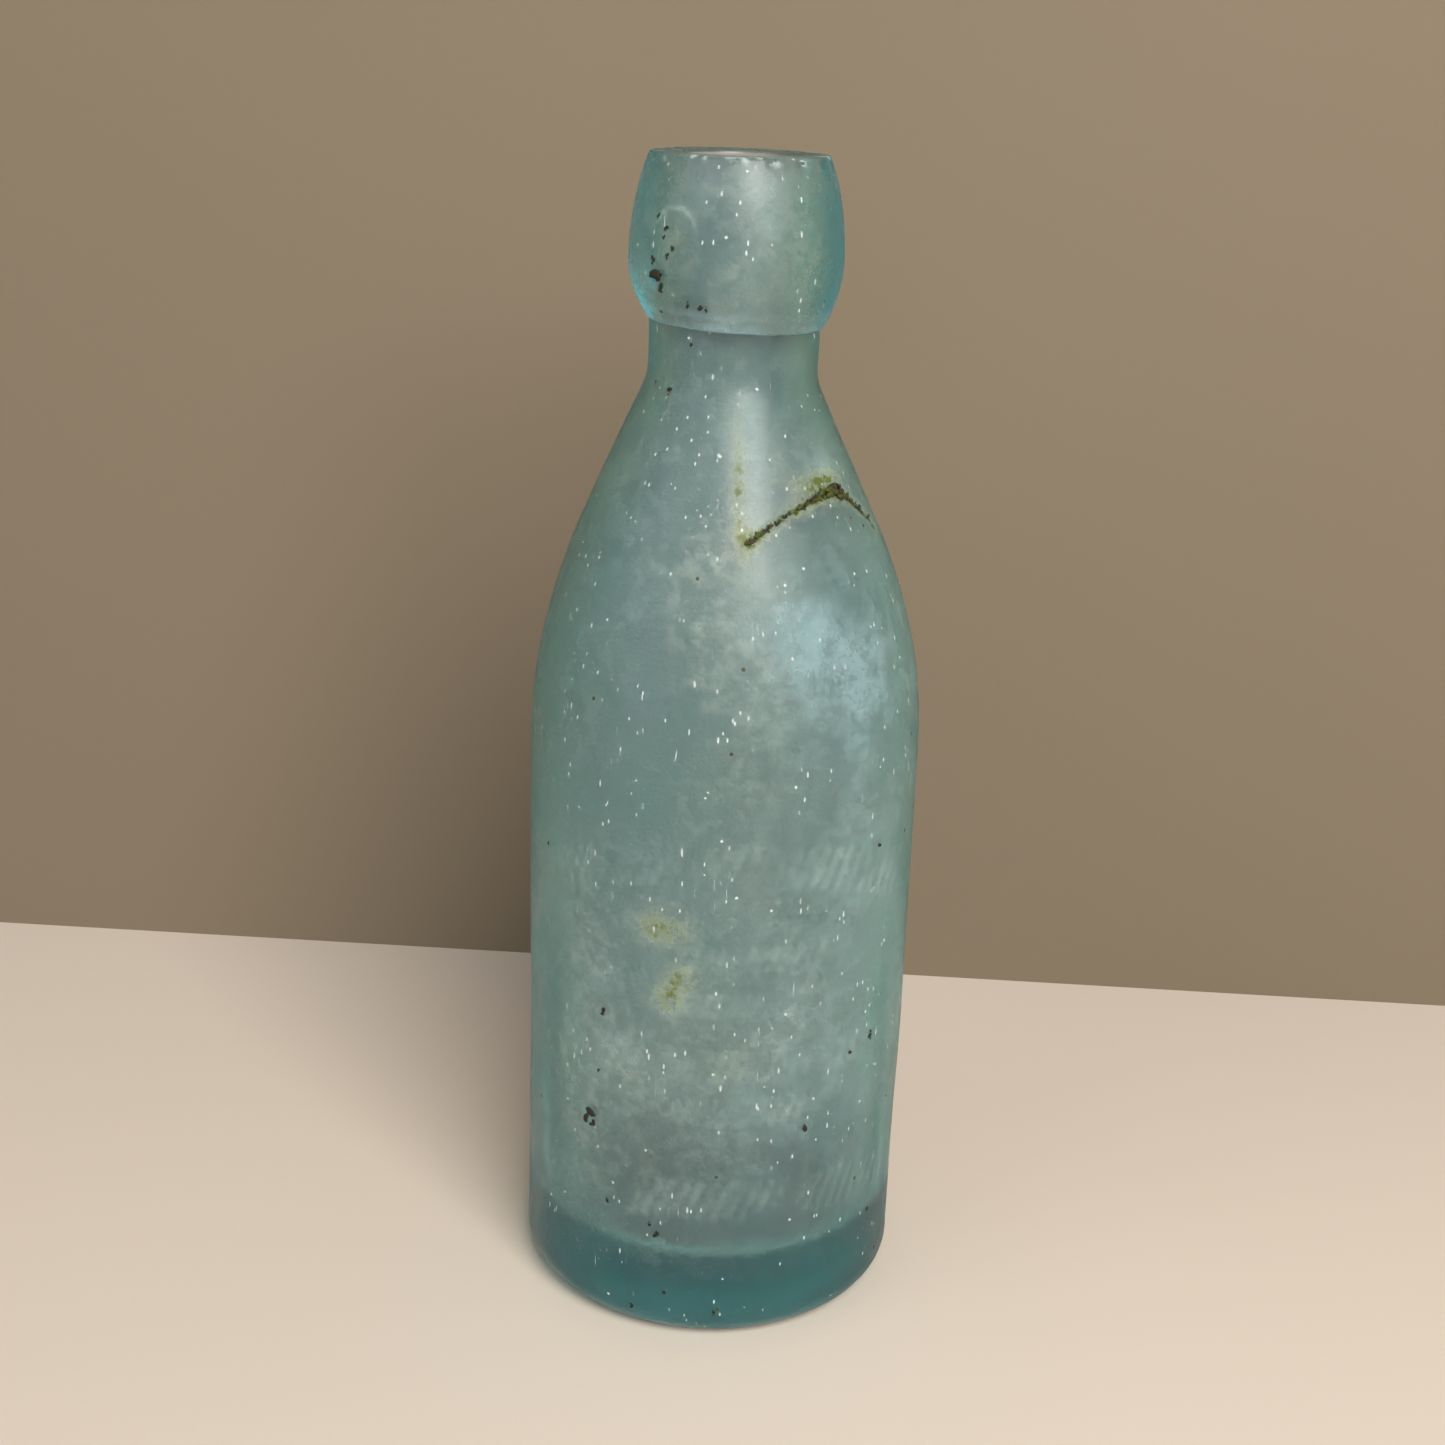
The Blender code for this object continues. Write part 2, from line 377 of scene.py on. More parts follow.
def shape_body():
    """The glass body with its relief, and the numbers that its finishes read."""
    bm = spun(body_outline(), closed=False)
    refine(bm, (-66, 74), (17 * MM, 93 * MM))
    refine(bm, (-4, 92), (122 * MM, 144 * MM))
    refine(bm, (0, 86), (126 * MM, 140 * MM))
    wear_and_glints, milk_and_ledge_light, stain, cavity, bloom_and_light, darker_low_and_shaded_sides = skin_layers(bm)
    vertices = list(bm.verts)
    places = np.array([vertex.co[:] for vertex in vertices])
    heights = places[:, 2]
    radii = np.hypot(places[:, 0], places[:, 1])
    turns = np.degrees(np.arctan2(places[:, 0], -places[:, 1]))
    outside = np.array([is_outside(vertex.co) for vertex in vertices])

    strokes = stroke_relief(turns, heights, radii)
    course = [point - Vector((lean(point.z), 0, 0)) for point in crack_line()]
    crack = distance_to(course, places)
    chips = chip_depth(BODY_CHIPS, places)
    from_seam = np.radians(np.abs(np.abs(turns) - 90)) * radii
    seam = np.exp(-((from_seam / MOULD_SEAM_WIDTH) ** 2))
    seam *= 1 - np.clip((heights - 140 * MM) / (10 * MM), 0, 1)

    milk_and_ledge_highlight = milk_on_body(turns, heights, radii)
    stains = stain_on_body(turns, heights, radii, crack)
    bloom_and_light_cover = bloom_and_light_on_body(turns, heights, radii)
    for index, vertex in enumerate(vertices):
        point = vertex.co.copy()
        radius = max(radii[index], 0.01 * MM)
        outwards = Vector((point.x / radius, point.y / radius, 0))
        if outside[index]:
            worn = 0.6 + 0.4 * noise.noise(point / (5 * MM))
            reach = smoothstep(1 * MM, 9 * MM, point.z) * (1 - smoothstep(157 * MM, 160 * MM, point.z))
            push = ripple(point, 26 * MM, 0.30 * MM, 1) + ripple(point, 7 * MM, 0.05 * MM, 5) - BODY_SET_IN
            push += ROPE_HEIGHT * strokes[index] * worn + MOULD_SEAM_HEIGHT * seam[index]
            push -= GROOVE_DEPTH * exp(-((crack[index] / GROOVE_WIDTH) ** 2)) + chips[index]
            vertex.co += outwards * push * reach
        else:
            reach = smoothstep(CAVITY_FLOOR, 30 * MM, point.z) * (1 - smoothstep(140 * MM, 158 * MM, point.z))
            vertex.co += outwards * ripple(point, 19 * MM, 0.55 * MM, 9) * reach
            vertex[cavity] = 1
            on_wall = smoothstep(CAVITY_FLOOR + 1 * MM, CAVITY_FLOOR + CAVITY_CORNER, point.z)
            # Painted shade: a darker streak down both sides of the cavity wall, where the glass is also made
            # thicker; lower down the whole wall is darker.
            sides = exp(-(((turns[index] + 70) / 13) ** 2)) + 0.7 * exp(-(((turns[index] - 74) / 10) ** 2))
            sides *= 1 - smoothstep(48 * MM, 74 * MM, point.z)
            vertex.co -= outwards * THICKER_SIDES * sides * on_wall
            vertex[darker_low_and_shaded_sides] = on_wall * max(1 - smoothstep(30 * MM, 46 * MM, point.z), sides)
        vertex[wear_and_glints] = strokes[index] * (0.6 + 0.4 * noise.noise(point / (4 * MM)))
        vertex[milk_and_ledge_light] = milk_and_ledge_highlight[index]
        vertex[stain] = stains[index]
        vertex[bloom_and_light] = bloom_and_light_cover[index]
    lean_over(bm)
    return bm


def bloom_and_light_on_body(turns, heights, radii):
    """How thick the pale bloom is: thin on the clear base and at the neck, thicker down the front, where a
    pale patch on the shoulder is partly a whitish streak and partly a painted highlight; thinned as painted
    shade on the lit right of the neck and down both edges.
    """
    around = (turns, heights, radii)
    above_base = np.clip((heights - 11 * MM) / (4 * MM), 0, 1)
    # Painted highlight, partly a whitish streak: the pale patch down the front of the shoulder at 4 degrees.
    bloom_and_light = 0.40 + 0.9 * spot(4, 122, 11, 26, *around) + 0.35 * spot(0, 56, 20, 12, *around)
    bloom_and_light += 0.6 * spot(-42, 56, 6, 26, *around) + 0.3 * spot(34, 62, 10, 18, *around)
    bloom_and_light += 0.7 * spot(190, 90, 30, 50, *around) + 0.4 * spot(-110, 50, 16, 30, *around)
    bloom_and_light += 0.5 * spot(-28, 40, 13, 18, *around) - 0.25 * spot(5, 22, 26, 6, *around)
    # Painted shade: the bloom thinned down both edges, and on the lit right of the neck.
    bloom_and_light -= 0.5 * spot(-66, 38, 5, 24, *around) + 0.4 * spot(70, 40, 4, 22, *around)
    bloom_and_light -= 0.35 * spot(62, 152, 10, 8, *around) + 0.3 * spot(75, 140, 8, 10, *around)
    return np.maximum(bloom_and_light, 0) * (0.1 + 0.9 * above_base)


def milk_on_body(turns, heights, radii):
    """Where the skin is milky: the right of the shoulder, above the crack, and the worn rows."""
    around = (turns, heights, radii)
    milk_and_ledge_light = 0.85 * spot(47, 109, 15, 13, *around) + 0.6 * spot(28, 118, 9, 9, *around)
    milk_and_ledge_light += 0.6 * spot(50, 140.5, 4.5, 3.5, *around) + 0.3 * spot(66, 124, 6, 8, *around)
    milk_and_ledge_light += 0.45 * spot(45, 80, 16, 20, *around) + 0.35 * spot(-30, 55, 20, 30, *around)
    milk_and_ledge_light += 0.5 * spot(30, 45, 18, 18, *around) + 0.5 * spot(160, 100, 30, 22, *around)
    milk_and_ledge_light += 0.4 * spot(-120, 60, 24, 24, *around) + 0.35 * spot(-34, 126, 8, 14, *around)
    return milk_and_ledge_light


def stain_on_body(turns, heights, radii, crack):
    """Where soil has coloured the skin: round the crack, down from the neck, and two old patches."""
    around = (turns, heights, radii)
    stain = 1.1 * np.exp(-((crack / (1.1 * MM)) ** 2)) + 1.5 * spot(46, 138.0, 5.0, 2.0, *around)
    stain += 1.1 * spot(4, 138.5, 1.1, 7.5, *around) + 0.9 * spot(6.5, 131, 1.6, 2.8, *around)
    stain += 1.2 * spot(-15.5, 72.6, 4.2, 2.8, *around) + 1.2 * spot(-13, 61.5, 2.6, 2.6, *around)
    stain += 1.0 * spot(-10, 65, 2.4, 2.2, *around)
    stain += 0.35 * spot(5, 50, 3, 4, *around) + 0.5 * spot(-170, 40, 4, 5, *around)
    return stain


def shape_lip():
    """The lip with its flakes, bruise and ledge, and the numbers that its finishes read."""
    bm = spun(lip_outline(), closed=True)
    wear_and_glints, milk_and_ledge_light, stain, cavity, bloom_and_light = skin_layers(bm)[:5]
    vertices = list(bm.verts)
    places = np.array([vertex.co[:] for vertex in vertices])
    chips = chip_depth(LIP_CHIPS, places + np.array((LEAN, 0, 0)))
    turns = np.degrees(np.arctan2(places[:, 0], -places[:, 1]))
    radii = np.hypot(places[:, 0], places[:, 1])
    around = (turns, places[:, 2], radii)
    just_outside = NECK_RADIUS + 0.05 * MM
    outside = radii > just_outside
    bruise = spot(-35, 172, 4.5, 5.5, *around)
    # Painted highlight: a paler bloom down the front of the lip; painted shade: a thinner bloom on its lit
    # right side.
    painted_highlight_patch = spot(6, 172, 9, 14, *around)
    painted_shade_right = spot(66, 171, 11, 12, *around)
    left_foot = spot(-66, 165, 6, 6, *around)
    stains = 0.3 * spot(38, 170, 6, 7, *around) + 0.4 * spot(-34, 172, 2, 3, *around)
    levels = places[:, 2] / MM
    # Painted highlight: a thin pale line round the ledge under the lip, over a small bead in the glass; the
    # band below it is milky skin.
    ledge_highlight_line = 0.9 * np.exp(-(((levels - 159.9) / 0.5) ** 2))
    ledge_highlight_line += 0.5 * np.exp(-(((levels - 162) / 0.35) ** 2))
    ledge_band = 0.45 / (1 + np.exp((levels - 162.0) / 0.25))
    rim_radius = lip_radius(RIM) - 0.5 * MM
    milk_and_ledge_highlight = ledge_highlight_line + ledge_band + 0.3 * spot(14, 176, 4, 6, *around)
    for index, vertex in enumerate(vertices):
        point = vertex.co.copy()
        radius = radii[index]
        outwards = Vector((point.x / radius, point.y / radius, 0))
        if radius > just_outside or point.z > RIM - 0.4 * MM:
            push = ripple(point, 14 * MM, 0.22 * MM, 3) + ripple(point, 4 * MM, 0.04 * MM, 8) - LIP_SET_IN
            rim_edge = exp(-((abs(bruise[index] - 0.5) / 0.08) ** 2))
            push += 0.06 * MM * rim_edge - 0.12 * MM * bruise[index] + 0.10 * MM * ledge_highlight_line[index]
            vertex.co += outwards * (push - chips[index])
            vertex.co.z -= 0.5 * chips[index] * smoothstep(RIM - 2 * MM, RIM, point.z)
        elif radius < NECK_RADIUS - 0.5 * MM:
            vertex[cavity] = 1
        # Painted glints: the rim's top edge is painted pale in broken nicks where it catches the light,
        # beside the real chips in the glass.
        nicks_and_glints = smoothstep(0.05, 0.4, noise.noise(point / (1.3 * MM)))
        near_edge = smoothstep(RIM - 1.3 * MM, RIM - 0.2 * MM, point.z)
        near_edge *= smoothstep(rim_radius - 2 * MM, rim_radius, radius)
        vertex[wear_and_glints] = 3.0 * nicks_and_glints * near_edge
        # Painted highlight: a pale curved line along the upper edge of the bruise, where it catches the
        # light.
        if outside[index]:
            upper_edge = smoothstep(173 * MM, 176 * MM, point.z)
            vertex[wear_and_glints] += 1.3 * upper_edge * exp(-((abs(bruise[index] - 0.45) / 0.06) ** 2))
        vertex[milk_and_ledge_light] = milk_and_ledge_highlight[index]
        vertex[stain] = stains[index]
        # Bloom with a painted highlight down the front and painted shade on the lit right.
        vertex[bloom_and_light] = 0.9 + 0.9 * painted_highlight_patch[index] - 0.7 * painted_shade_right[index] + left_foot[index]
    lean_over(bm)
    return bm


def finish_mesh(name, bm, materials, sharp=50):
    mesh = bpy.data.meshes.new(name)
    for face in bm.faces:
        face.smooth = True
    bm.to_mesh(mesh)
    bm.free()
    for material in materials:
        mesh.materials.append(material)
    mesh.set_sharp_from_angle(angle=radians(sharp))
    piece = bpy.data.objects.new(name, mesh)
    bpy.context.scene.collection.objects.link(piece)
    return piece


def is_body_outside(face, cavity):
    """True on the side, shoulder and neck, and under the base except at the ring that it stands on."""
    if face.normal.z >= 0.9 or face.calc_center_median().z <= 0.6 * MM:
        return False
    return all(vertex[cavity] < 0.5 for vertex in face.verts)


def is_lip_outside(face, cavity):
    """True on the rounded outside and the flat rim of the lip."""
    middle = face.calc_center_median()
    across = hypot(middle.x - lean(middle.z), middle.y)
    return across > NECK_RADIUS + 0.1 * MM or middle.z > RIM - 0.5 * MM


def is_underneath(point):
    """True on the pushed-up middle of the base, which scuffs on whatever the bottle stands on."""
    return hypot(point.x, point.y) < REST_INNER_RADIUS


def assign_surfaces(bm):
    """Outer skin, scuffed inner and under surfaces, and the flat joint where the two gathers are fused."""
    cavity = bm.verts.layers.float["cavity"]
    for face in bm.faces:
        middle = face.calc_center_median()
        across = hypot(middle.x - lean(middle.z), middle.y)
        level = LIP_BOTTOM - LEDGE_SLANT * (middle.x - lean(middle.z)) / LIP_RADIUS
        at_joint = BORE_RADIUS + 0.2 * MM < across < NECK_RADIUS - 0.1 * MM
        scuffed_below = 0.6 * MM + PUSH_UP * is_underneath(middle)
        if abs(middle.z - level) < 0.2 * MM and at_joint:
            face.material_index = FUSED
        elif all(vertex[cavity] > 0.5 for vertex in face.verts) or middle.z < scuffed_below:
            face.material_index = SCUFFED


def peel_skin(bm, keep):
    """A copy of the outer faces of a glass piece, lifted off it by a hair."""
    skin = bm.copy()
    skin.normal_update()
    cavity = skin.verts.layers.float["cavity"]
    inner = [face for face in skin.faces if not keep(face, cavity)]
    bmesh.ops.delete(skin, geom=inner, context="FACES")
    skin.normal_update()
    lifted = [(vertex, vertex.normal.copy()) for vertex in skin.verts]
    for vertex, normal in lifted:
        vertex.co += normal * SKIN_LIFT
    return skin


# ---- Shading ----
class Tree:
    """Adds nodes to a node tree and joins them, so that a finish reads as a few lines."""

    def __init__(self, tree):
        self.tree = tree

    def add(self, kind, inputs=None, **settings):
        node = self.tree.nodes.new(kind)
        for name, value in settings.items():
            setattr(node, name, value)
        for name, value in (inputs or {}).items():
            self.feed(node.inputs[name], value)
        return node

    def feed(self, socket, value):
        if isinstance(value, bpy.types.NodeSocket):
            self.tree.links.new(value, socket)
        else:
            socket.default_value = value

    def math(self, operation, first, second=0.0, clamp=False):
        node = self.add("ShaderNodeMath", {0: first, 1: second}, operation=operation, use_clamp=clamp)
        return node.outputs[0]

    def spread(self, value, low, high, to_low=0.0, to_high=1.0):
        inputs = {"Value": value, "From Min": low, "From Max": high, "To Min": to_low, "To Max": to_high}
        node = self.add("ShaderNodeMapRange", inputs, interpolation_type="SMOOTHSTEP")
        return node.outputs["Result"]

    def mix(self, factor, first, second):
        """A blend of two colours."""
        node = self.add("ShaderNodeMix", data_type="RGBA")
        self.feed(node.inputs["Factor"], factor)
        self.feed(node.inputs[6], first)
        self.feed(node.inputs[7], second)
        return node.outputs[2]

    def noise(self, vector, size, detail=4.0, rough=0.55, bend=0.0):
        inputs = {"Vector": vector, "Scale": 1 / size, "Detail": detail, "Roughness": rough}
        return self.add("ShaderNodeTexNoise", {**inputs, "Distortion": bend}).outputs["Fac"]

    def moved(self, vector, turn=(0, 0, 0), scale=(1, 1, 1), shift=(0, 0, 0)):
        inputs = {"Vector": vector, "Location": shift, "Rotation": turn, "Scale": scale}
        return self.add("ShaderNodeMapping", inputs).outputs["Vector"]

    def coordinates(self):
        return self.add("ShaderNodeTexCoord").outputs["Object"]

    def layer(self, name):
        return self.add("ShaderNodeAttribute", attribute_name=name).outputs["Fac"]

    def use(self, group, **inputs):
        node = self.tree.nodes.new("ShaderNodeGroup")
        node.node_tree = group
        for name, value in inputs.items():
            self.feed(node.inputs[name], value)
        return node.outputs


def new_group(name, numbers, outputs):
    """An effect shared by several finishes: a Vector and named numbers in, masks or heights out."""
    tree = bpy.data.node_groups.new(name, "ShaderNodeTree")
    tree.interface.new_socket("Vector", in_out="INPUT", socket_type="NodeSocketVector")
    for number, value in numbers.items():
        socket = tree.interface.new_socket(number, in_out="INPUT", socket_type="NodeSocketFloat")
        socket.default_value = value
    for output in outputs:
        tree.interface.new_socket(output, in_out="OUTPUT", socket_type="NodeSocketFloat")
    entry = tree.nodes.new("NodeGroupInput")
    leave = tree.nodes.new("NodeGroupOutput")
    return Tree(tree), entry.outputs, leave.inputs


def make_clouds():
    """Cloudy etching: broken soft patches over a finer mottle."""
    t, entry, leave = new_group("clouds", {"Low": 0.4, "High": 0.65, "Shift": 0.0}, ["Mask"])
    moved = t.add("ShaderNodeVectorMath", {0: entry["Vector"]}, operation="ADD")
    t.feed(moved.inputs[1], t.add("ShaderNodeCombineXYZ", {"X": entry["Shift"]}).outputs[0])
    broad = t.noise(moved.outputs[0], 16 * MM, 5, 0.6, 0.4)
    fine = t.noise(moved.outputs[0], 2.4 * MM, 4, 0.65)
    mottle = t.math("ADD", t.math("MULTIPLY", broad, 0.7), t.math("MULTIPLY", fine, 0.3))
    t.feed(leave["Mask"], t.spread(mottle, entry["Low"], entry["High"]))
    return t.tree


def make_scratches():
    """Hair scratches in three leans, broken up so that each is only a few millimetres long."""
    t, entry, leave = new_group("hair_scratches", {"Amount": 0.5}, ["Mask"])
    total = 0.0
    for index, lean_by in enumerate((-62, 38, 8)):
        turn = (0, radians(lean_by), index * 1.3)
        turned = t.moved(entry["Vector"], turn, (1, 1, 0.035), (0.02 * index, 0, 0))
        lines = t.noise(turned, 0.42 * MM, 1, 0.4)
        line = t.spread(lines, 0.735, 0.78)
        gaps = t.noise(entry["Vector"], (5 + 2 * index) * MM, 2, 0.5)
        total = t.math("ADD", total, t.math("MULTIPLY", line, t.spread(gaps, 0.55, 0.66)), clamp=True)
    t.feed(leave["Mask"], t.math("MULTIPLY", total, entry["Amount"], clamp=True))
    return t.tree


def make_specks():
    """Pinpricks: small round dots, thinned out so that only some cells hold one."""
    t, entry, leave = new_group("specks", {"Spacing": 2.5 * MM, "Dot": 0.1, "Share": 0.3}, ["Mask"])
    scale = t.math("DIVIDE", 1.0, entry["Spacing"])
    cells = t.add("ShaderNodeTexVoronoi", {"Vector": entry["Vector"], "Scale": scale})
    near = t.math("LESS_THAN", cells.outputs["Distance"], entry["Dot"])
    pick = t.add("ShaderNodeSeparateColor", {"Color": cells.outputs["Color"]}).outputs[0]
    chosen = t.math("LESS_THAN", pick, entry["Share"])
    t.feed(leave["Mask"], t.math("MULTIPLY", near, chosen))
    return t.tree


def make_grain():
    """Frosted glass under the finger: a fine etched grain over a slow ripple."""
    t, entry, leave = new_group("frosted_grain", {"Fine": 0.5}, ["Height"])
    slow = t.noise(entry["Vector"], 5 * MM, 3, 0.5, 0.3)
    fine = t.noise(entry["Vector"], 0.5 * MM, 3, 0.6)
    pits = t.noise(entry["Vector"], 1.3 * MM, 2, 0.5)
    hollow = t.spread(pits, 0.62, 0.75, 0.0, -1.0)
    rough = t.math("ADD", t.math("MULTIPLY", fine, entry["Fine"]), t.math("MULTIPLY", hollow, 0.2))
    t.feed(leave["Height"], t.math("ADD", slow, rough))
    return t.tree


def new_material(name):
    material = bpy.data.materials.new(name)
    material.use_nodes = True
    tree = Tree(material.node_tree)
    return material, tree, material.node_tree.nodes["Principled BSDF"]


WATER = (0.97, 1.0, 1.0, 1)
AQUA = (0.0, 0.908, 0.972, 1)
GLASS_DEPTH = 58.0
BLOOM_COVER = 0.14


def make_glass(name, tints, roughness, grain):
    """Etched glass, aqua from its depth, with tints for clear, milky and darkened (a darker cavity wall low
    down, and painted shade down its sides), and two roughnesses.
    """
    clear, milky, darker_low_and_shade_tint = tints
    material, t, shader = new_material(name)
    where = t.coordinates()
    etched = t.use(CLOUDS, Vector=where, Low=0.38, High=0.62, Shift=0.0)["Mask"]
    colour = t.mix(etched, clear, milky)
    t.feed(shader.inputs["Base Color"], t.mix(t.layer("cavity_darker_low_and_shaded_sides"), colour, darker_low_and_shade_tint))
    t.feed(shader.inputs["Roughness"], t.spread(etched, 0, 1, *roughness))
    height = t.use(GRAIN, Vector=where, Fine=0.5)["Height"]
    bump = t.add("ShaderNodeBump", {"Strength": grain, "Distance": 0.15 * MM, "Height": height})
    t.feed(shader.inputs["Normal"], bump.outputs[0])
    shader.inputs["Metallic"].default_value = 0
    shader.inputs["IOR"].default_value = 1.5
    shader.inputs["Transmission Weight"].default_value = 1.0
    add_depth(material, t)
    return material


def make_seam(name):
    """Where the lip is fused to the neck: nothing bends or shines, only the glass's colour goes on."""
    material, t, shader = new_material(name)
    shader.inputs["Base Color"].default_value = (1, 1, 1, 1)
    shader.inputs["Roughness"].default_value = 0
    shader.inputs["Metallic"].default_value = 0
    shader.inputs["IOR"].default_value = 1.0
    shader.inputs["Transmission Weight"].default_value = 1.0
    add_depth(material, t)
    return material


def add_depth(material, t):
    """The colour that glass takes on with its thickness."""
    depth = t.add("ShaderNodeVolumeAbsorption")
    depth.inputs["Color"].default_value = AQUA
    depth.inputs["Density"].default_value = GLASS_DEPTH
    t.feed(material.node_tree.nodes["Material Output"].inputs["Volume"], depth.outputs[0])


def make_skin(name, thin, thick):
    """The weathered skin: a pale bloom mottled thin to thick, with milk, scratches, glints and stains, and
    painted light: its glints are painted highlights, its scratches and nicks partly so, and its bloom and
    milk carry painted highlights and painted shade.
    """
    material, t, shader = new_material(name)
    where = t.coordinates()
    clouds = t.use(CLOUDS, Vector=where, Low=0.36, High=0.68, Shift=0.31)["Mask"]
    broken = t.spread(t.noise(where, 7 * MM, 8, 0.72), 0.36, 0.64)
    milk_and_ledge_light = t.math("MULTIPLY", t.layer("milk_and_ledge_light"), t.math("ADD", t.math("MULTIPLY", broken, 0.6), 0.4))
    # Worn rope rows on the body; painted glints on the lip's rim and a painted highlight along its bruise.
    wear_and_glints = t.math("MULTIPLY", t.layer("wear_and_glint_marks"), t.spread(clouds, 0, 1, 0.55, 1.0))
    ragged = t.noise(where, 1.0 * MM, 6, 0.75)
    stain = t.math("MULTIPLY", t.layer("olive_stain"), t.spread(ragged, 0.30, 0.64), clamp=True)
    # Painted glints: white pinpricks stand in for light caught by tiny chips; the scratches, nicks and chips
    # are partly real scuffs and partly painted glints.
    scratches = t.use(SCRATCHES, Vector=where, Amount=0.9)["Mask"]
    painted_glints = t.use(SPECKS, Vector=where, Spacing=2.6 * MM, Dot=0.09, Share=0.16)["Mask"]
    upright = t.moved(where, (0, radians(9), 0), (1, 1, 0.28))
    nicks = t.use(SPECKS, Vector=upright, Spacing=1.1 * MM, Dot=0.14, Share=0.28)["Mask"]
    slanted = t.moved(where, (0, radians(-24), radians(40)), (1, 1, 0.4))
    chips = t.use(SPECKS, Vector=slanted, Spacing=1.0 * MM, Dot=0.15, Share=0.30)["Mask"]
    flock = t.spread(t.noise(t.moved(where, shift=(0.2, 0.05, 0.13)), 11 * MM, 3, 0.6), 0.42, 0.54)
    grit = t.use(SPECKS, Vector=where, Spacing=7 * MM, Dot=0.045, Share=0.4)["Mask"]
    knocks = t.math("MULTIPLY", t.math("MAXIMUM", nicks, chips), flock)
    scuffs_and_glints = t.math("MAXIMUM", t.math("MAXIMUM", scratches, painted_glints), knocks)

    mottle = t.spread(t.noise(where, 2.4 * MM, 6, 0.7, 0.3), 0.42, 0.62, thin, thick)
    cover = t.spread(clouds, 0, 1, BLOOM_COVER * 0.6, BLOOM_COVER * 1.3)
    bloom_and_light = t.math("MULTIPLY", t.layer("bloom_with_painted_light"), cover)
    bloom_and_light = t.math("MULTIPLY", bloom_and_light, mottle)
    alpha = t.math("ADD", bloom_and_light, t.math("MULTIPLY", milk_and_ledge_light, 0.38))
    alpha = t.math("ADD", alpha, t.math("MULTIPLY", wear_and_glints, 0.20))
    alpha = t.math("ADD", alpha, t.math("MULTIPLY", stain, 0.68))
    alpha = t.math("MAXIMUM", alpha, t.math("MULTIPLY", scuffs_and_glints, 0.62))
    alpha = t.math("MAXIMUM", alpha, grit, clamp=True)

    settled = t.spread(t.layer("bloom_with_painted_light"), 0.3, 0.9)
    colour = t.mix(settled, (0.28, 0.40, 0.41, 1), (0.39, 0.44, 0.385, 1))
    colour = t.mix(clouds, colour, (0.46, 0.53, 0.47, 1))
    colour = t.mix(t.math("MULTIPLY", milk_and_ledge_light, 1.2, clamp=True), colour, (0.42, 0.62, 0.66, 1))
    colour = t.mix(wear_and_glints, colour, (0.52, 0.66, 0.62, 1))
    olive = t.mix(t.spread(stain, 0.45, 1.0), (0.31, 0.34, 0.12, 1), (0.11, 0.14, 0.02, 1))
    colour = t.mix(stain, colour, olive)
    # Near-white where the scuffs and painted glints catch the light.
    colour = t.mix(scuffs_and_glints, colour, (0.85, 0.92, 0.90, 1))
    colour = t.mix(grit, colour, (0.05, 0.045, 0.02, 1))
    t.feed(shader.inputs["Base Color"], colour)
    t.feed(shader.inputs["Alpha"], alpha)
    t.feed(shader.inputs["Roughness"], t.spread(broken, 0, 1, 0.5, 0.8))
    height = t.use(GRAIN, Vector=where, Fine=0.8)["Height"]
    bump = t.add("ShaderNodeBump", {"Strength": 0.5, "Distance": 0.15 * MM, "Height": height})
    t.feed(shader.inputs["Normal"], bump.outputs[0])
    shader.inputs["Metallic"].default_value = 0
    return material


def make_soil(name, dark, brown, green, size):
    """Dry soil in patches of three colours; size is that of its patches."""
    material, t, shader = new_material(name)
    where = t.coordinates()
    patches = t.spread(t.noise(where, size, 4, 0.6), 0.38, 0.62)
    moss = t.spread(t.noise(t.moved(where, shift=(0.3, 0.1, 0.2)), size * 1.7, 3, 0.6), 0.46, 0.6)
    colour = t.mix(moss, t.mix(patches, dark, brown), green)
    t.feed(shader.inputs["Base Color"], colour)
    t.feed(shader.inputs["Roughness"], t.spread(patches, 0, 1, 0.85, 1.0))
    height = t.noise(where, size / 4, 4, 0.7)
    bump = t.add("ShaderNodeBump", {"Strength": 0.8, "Distance": 0.2 * MM, "Height": height})
    t.feed(shader.inputs["Normal"], bump.outputs[0])
    shader.inputs["Metallic"].default_value = 0
    return material


def make_plain(name, colour, other, one_sided=False):
    """A plain matte surface for the stage; a one-sided one is seen through from behind."""
    material, t, shader = new_material(name)
    uneven = t.noise(t.coordinates(), 0.18, 2, 0.5)
    t.feed(shader.inputs["Base Color"], t.mix(uneven, colour, other))
    shader.inputs["Roughness"].default_value = 0.8
    if one_sided:
        behind = t.add("ShaderNodeNewGeometry").outputs["Backfacing"]
        t.feed(shader.inputs["Alpha"], t.math("SUBTRACT", 1.0, behind))
    return material


CLOUDS = make_clouds()
SCRATCHES = make_scratches()
SPECKS = make_specks()
GRAIN = make_grain()


# ---- Soil and dirt ----
def add_lump(bm, centre, size, flat, seed, detail):
    """An irregular crumb: a little sphere, dented all over, pressed flat against the glass."""
    outwards = Vector((centre.x, centre.y, 0)).normalized()
    frame_turn = outwards.to_track_quat("Z", "Y").to_matrix().to_4x4()
    squash = Matrix.Diagonal((size * 1.25, size * 0.72, size * flat, 1))
    spin_by = Matrix.Rotation(seed * 1.7, 4, "Z")
    made = bmesh.ops.create_icosphere(bm, subdivisions=detail, radius=1.0)
    for vertex in made["verts"]:
        dent = noise.noise(vertex.co * 1.4 + Vector((seed, 0, 0))) * 0.45
        vertex.co *= 1 + dent
    set_down = Matrix.Translation(centre) @ frame_turn @ spin_by @ squash
    bmesh.ops.transform(bm, verts=made["verts"], matrix=set_down)


